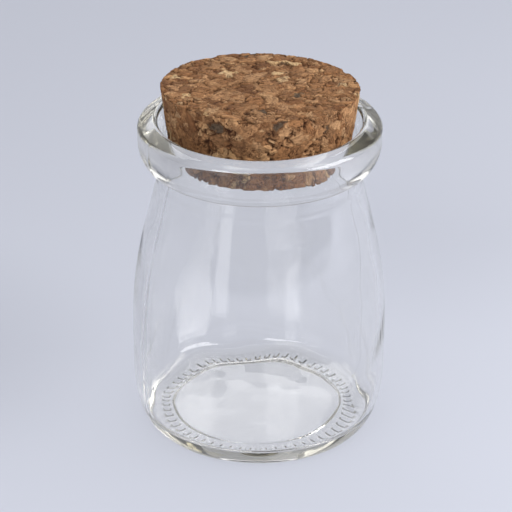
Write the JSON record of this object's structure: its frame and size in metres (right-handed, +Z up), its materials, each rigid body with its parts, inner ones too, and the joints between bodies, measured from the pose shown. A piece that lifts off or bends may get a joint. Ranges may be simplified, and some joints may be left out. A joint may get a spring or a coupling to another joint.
{
  "type": "corked glass jar",
  "caption": "Small empty clear glass jar with a round collar rim, sloping shoulder and barred foot ring, shut by a tapered stopper of pressed cork.",
  "frame": {"origin": "middle of the foot, on the surface the jar stands on", "axes": "+Z up the jar's axis; -Y towards the viewer of the picture, +X to the viewer's right"},
  "size_m": [0.06, 0.06, 0.0855],
  "materials": {
    "clear_glass": "smooth pressed clear glass with a faint green tint where it is thick",
    "pressed_cork": "matte, pressed from coarse cork granules with dark bark flecks and pits"
  },
  "bodies": {
    "root": {"glass_jar": "clear_glass", "cork_stopper": "pressed_cork"}
  },
  "joints": []
}
